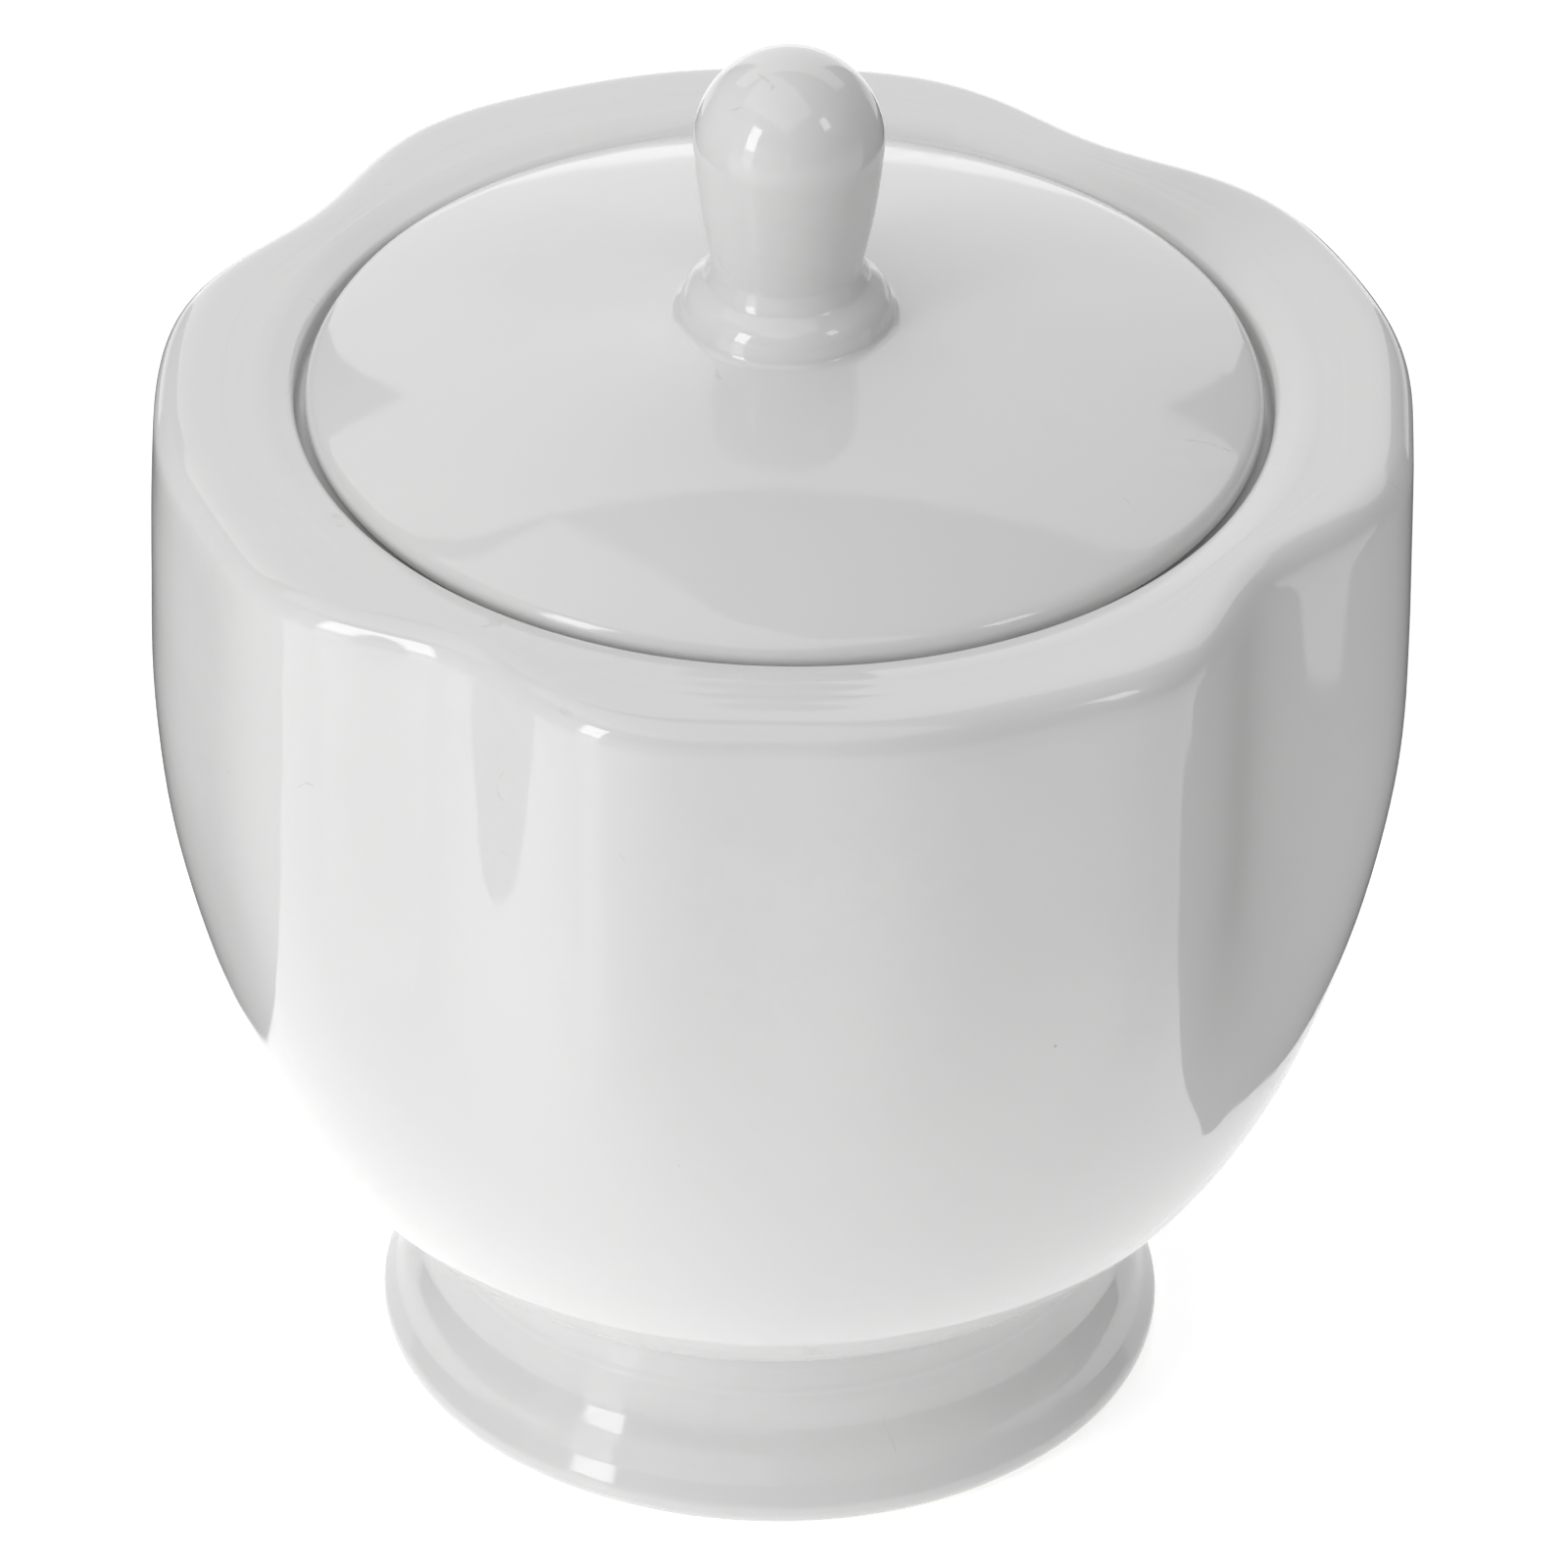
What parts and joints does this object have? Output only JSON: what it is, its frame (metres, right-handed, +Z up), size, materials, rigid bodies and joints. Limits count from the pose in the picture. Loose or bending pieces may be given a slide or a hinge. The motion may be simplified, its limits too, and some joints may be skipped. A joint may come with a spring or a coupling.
{
  "type": "sugar bowl",
  "caption": "Lidded sugar bowl: a fluted porcelain bowl on a round pedestal foot, with a low domed lid that lifts off by its bulb-shaped knob.",
  "frame": {"origin": "centre of the foot's standing ring, on the table", "axes": "+Z up along the bowl's own axis; the lobes' centres lie on the X and Y axes, and the flutes between them on the diagonals"},
  "size_m": [0.1072, 0.1072, 0.1271],
  "materials": {
    "glazed_porcelain": "clear gloss glaze over a white porcelain body, bare on the ring it stands on"
  },
  "bodies": {
    "bowl_body": {"bowl": "glazed_porcelain", "pedestal_foot": "glazed_porcelain"},
    "lid_body": {"lid": "glazed_porcelain", "lid_knob": "glazed_porcelain"}
  },
  "joints": [
    {"name": "lid_lift", "type": "slide", "parent": "bowl_body", "child": "lid_body", "axis": [0, 0, 1], "range_m": [0, 0.08]}
  ]
}
